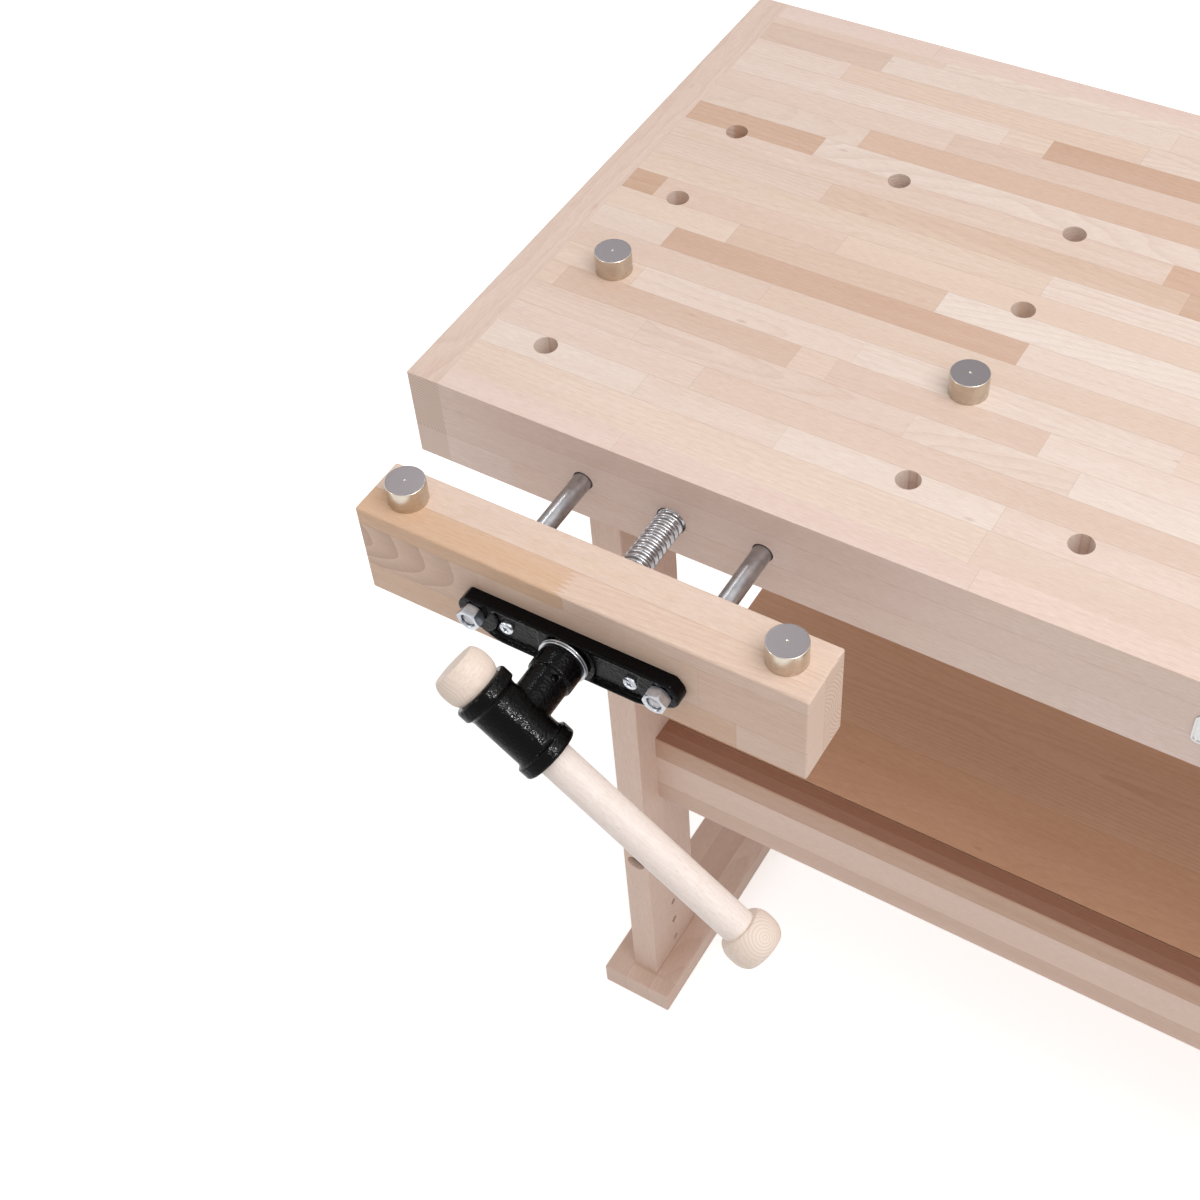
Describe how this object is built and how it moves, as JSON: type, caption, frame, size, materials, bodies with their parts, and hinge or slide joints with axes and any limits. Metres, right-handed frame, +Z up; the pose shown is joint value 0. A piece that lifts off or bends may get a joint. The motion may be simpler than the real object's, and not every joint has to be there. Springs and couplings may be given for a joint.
{
  "type": "woodworking bench with vises",
  "caption": "Free-standing beech workbench with front and tail vises, sliding handle bars, rows of dog holes with dogs, leg frames on sled feet, stretchers and a low shelf.",
  "frame": {"origin": "floor level, under the middle of the box round the bench as it stands, handles and jaws included", "axes": "+X along the worktop from the left end to the tail vise, +Y from the front vise to the back, +Z up"},
  "size_m": [1.5578, 0.8438, 0.9195],
  "materials": {
    "beech": "oiled pale beech staves",
    "steamed_beech": "oiled pinkish beech",
    "turned_beech": "turned and sanded",
    "shelf_board": "reddish brown, matt",
    "black_casting": "gloss black paint over a cast surface",
    "zinc": "bright zinc plating",
    "bright_steel": "ground and oiled",
    "name_plate": "blank satin plate"
  },
  "bodies": {
    "bench": {"top_panel": "beech", "front_apron": "steamed_beech", "rear_apron": "steamed_beech", "left_end_cap": "beech", "right_end_cap": "beech", "name_plate": "name_plate", "left_foot": "steamed_beech", "right_foot": "steamed_beech", "left_bearer": "steamed_beech", "right_bearer": "steamed_beech", "left_front_leg": "steamed_beech", "left_rear_leg": "steamed_beech", "right_front_leg": "steamed_beech", "right_rear_leg": "steamed_beech", "front_stretcher": "steamed_beech", "rear_stretcher": "steamed_beech", "stretcher_bolts": "zinc", "stretcher_washers": "zinc", "barrel_nuts": "zinc", "stretcher_dowels": "turned_beech", "front_ledge": "beech", "rear_ledge": "beech", "ledge_screws": "zinc", "shelf": "shelf_board", "bearer_screws": "zinc", "front_guide_plate": "black_casting", "tail_guide_plate": "black_casting", "guide_screws": "zinc"},
    "front_jaw": {"front_jaw": "beech", "front_plate": "black_casting", "front_plate_screws": "zinc", "front_guide_rods": "bright_steel", "front_rod_nuts": "zinc", "front_ring": "zinc"},
    "front_spindle": {"front_screw": "bright_steel", "front_hub": "black_casting", "front_hub_pin": "bright_steel"},
    "front_handle": {"front_handle_bar": "turned_beech", "front_upper_knob": "turned_beech", "front_lower_knob": "turned_beech"},
    "tail_jaw": {"tail_jaw": "beech", "tail_plate": "black_casting", "tail_plate_screws": "zinc", "tail_guide_rods": "bright_steel", "tail_rod_nuts": "zinc", "tail_ring": "zinc"},
    "tail_spindle": {"tail_screw": "bright_steel", "tail_hub": "black_casting", "tail_hub_pin": "bright_steel"},
    "tail_handle": {"tail_handle_bar": "turned_beech", "tail_upper_knob": "turned_beech", "tail_lower_knob": "turned_beech"},
    "jaw_dog_left": {"jaw_dog_left": "zinc"},
    "jaw_dog_right": {"jaw_dog_right": "zinc"},
    "bench_dog_left": {"bench_dog_left": "zinc"},
    "bench_dog_right": {"bench_dog_right": "zinc"}
  },
  "joints": [
    {"name": "front_jaw_slide", "type": "slide", "parent": "bench", "child": "front_jaw", "axis": [0, 1, 0], "range_m": [-0.0586, 0.0861]},
    {"name": "front_screw_turn", "type": "hinge", "parent": "front_jaw", "child": "front_spindle", "pos_m": [-0.5349, -0.3981, 0.848], "axis": [0, 1, 0], "range_deg": [-3510, 5160]},
    {"name": "front_handle_slide", "type": "slide", "parent": "front_spindle", "child": "front_handle", "axis": [-0.8007, 0, 0.599], "range_m": [0, 0.188]},
    {"name": "tail_jaw_slide", "type": "slide", "parent": "bench", "child": "tail_jaw", "axis": [-1, 0, 0], "range_m": [-0.1446, 0]},
    {"name": "tail_screw_turn", "type": "hinge", "parent": "tail_jaw", "child": "tail_spindle", "pos_m": [0.7551, 0.0599, 0.848], "axis": [-1, 0, 0], "range_deg": [-8670, 0]},
    {"name": "tail_handle_slide", "type": "slide", "parent": "tail_spindle", "child": "tail_handle", "axis": [0, -0.4695, 0.8829], "range_m": [0, 0.188]},
    {"name": "jaw_dog_left_lift", "type": "slide", "parent": "front_jaw", "child": "jaw_dog_left", "axis": [0, 0, 1], "range_m": [0, 0.055]},
    {"name": "jaw_dog_right_lift", "type": "slide", "parent": "front_jaw", "child": "jaw_dog_right", "axis": [0, 0, 1], "range_m": [0, 0.055]},
    {"name": "bench_dog_left_lift", "type": "slide", "parent": "bench", "child": "bench_dog_left", "axis": [0, 0, 1], "range_m": [0, 0.055]},
    {"name": "bench_dog_right_lift", "type": "slide", "parent": "bench", "child": "bench_dog_right", "axis": [0, 0, 1], "range_m": [0, 0.055]}
  ],
  "couplings": [
    {"joint": "front_jaw_slide", "follows": "front_screw_turn", "m_per_rad": 0.00095493},
    {"joint": "tail_jaw_slide", "follows": "tail_screw_turn", "m_per_rad": 0.00095493}
  ]
}
